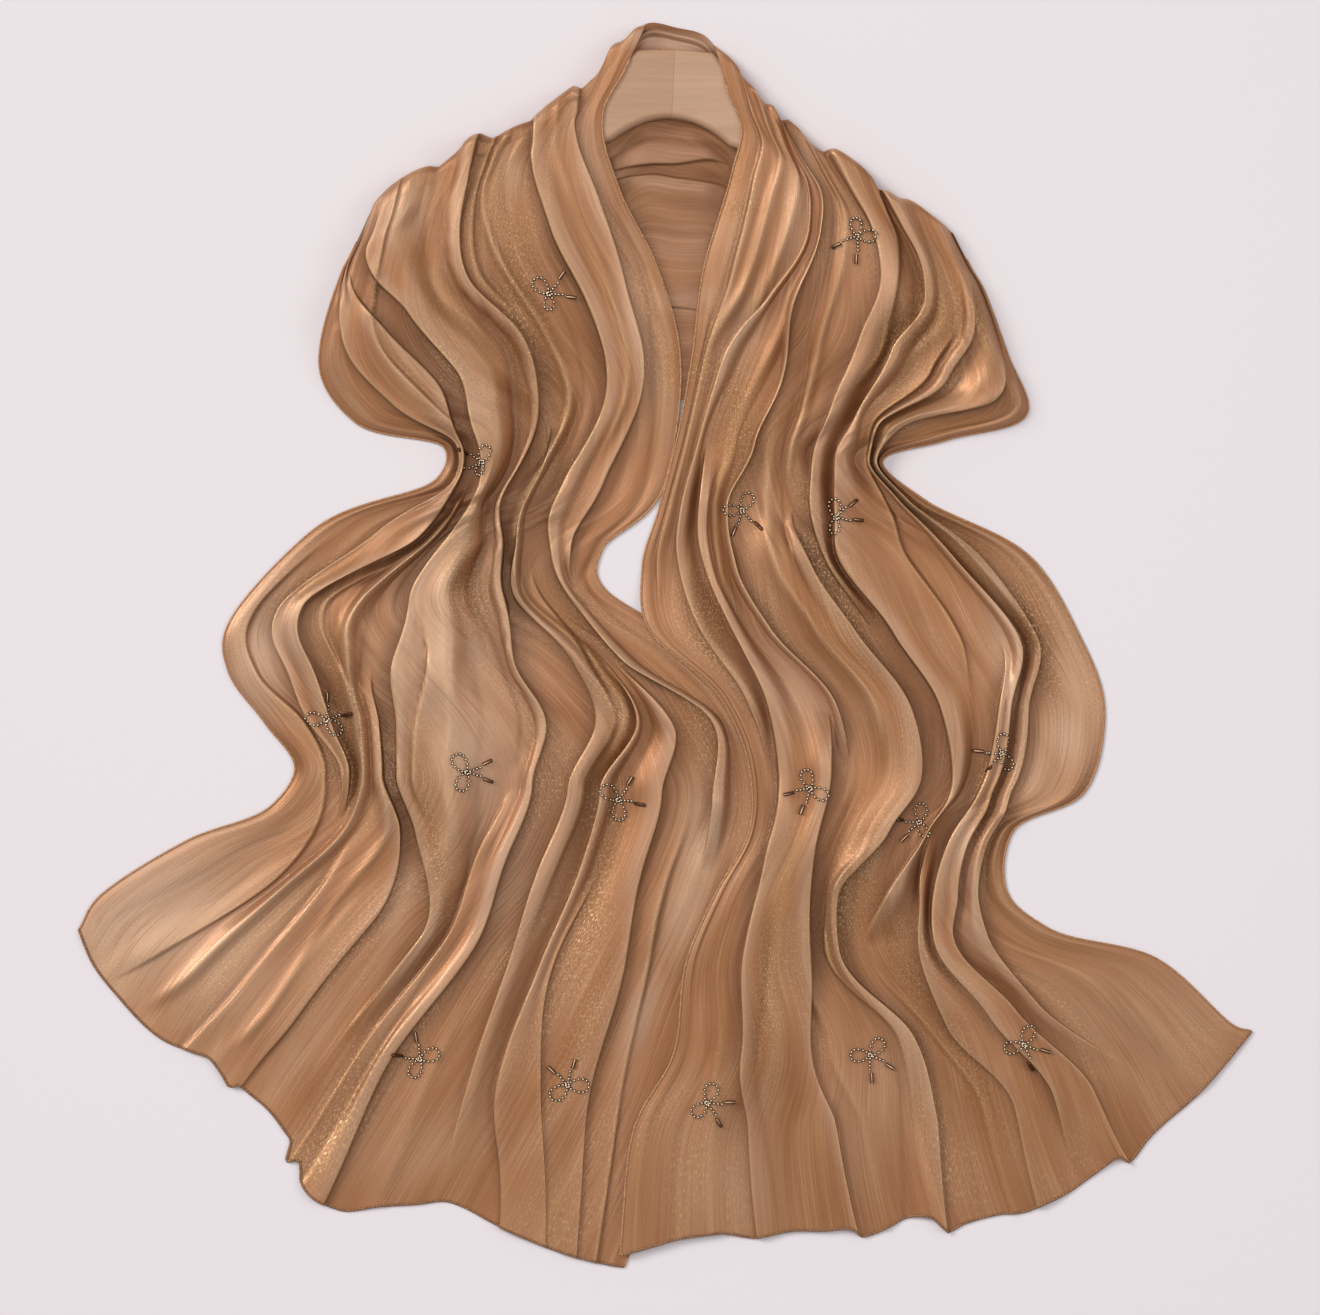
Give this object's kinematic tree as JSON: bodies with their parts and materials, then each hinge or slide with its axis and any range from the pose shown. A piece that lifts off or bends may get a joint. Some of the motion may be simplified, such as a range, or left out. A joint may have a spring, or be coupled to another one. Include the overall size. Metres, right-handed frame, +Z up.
{
  "type": "hijab scarf laid on a wooden hanger yoke",
  "caption": "Long satin hijab scarf gathered round the shoulders of a flat wooden hanger yoke, its two fronts laid out in long S-shaped folds.",
  "frame": {"origin": "middle of the whole layout's box, on the surface that it lies on", "axes": "+Z up from the surface, +Y towards the neck, +X towards the right front as seen from above"},
  "size_m": [0.7971, 0.843, 0.0231],
  "materials": {
    "camel_satin": "camel brown crinkled shimmer satin",
    "camel_satin_back": "camel brown shimmer satin seen from its inner side",
    "pale_wood": "smooth clear-lacquered pale wood"
  },
  "bodies": {
    "root": {"left_front": "camel_satin", "right_front": "camel_satin", "back_stretch": "camel_satin_back", "hanger_left": "pale_wood", "hanger_right": "pale_wood"}
  },
  "joints": []
}
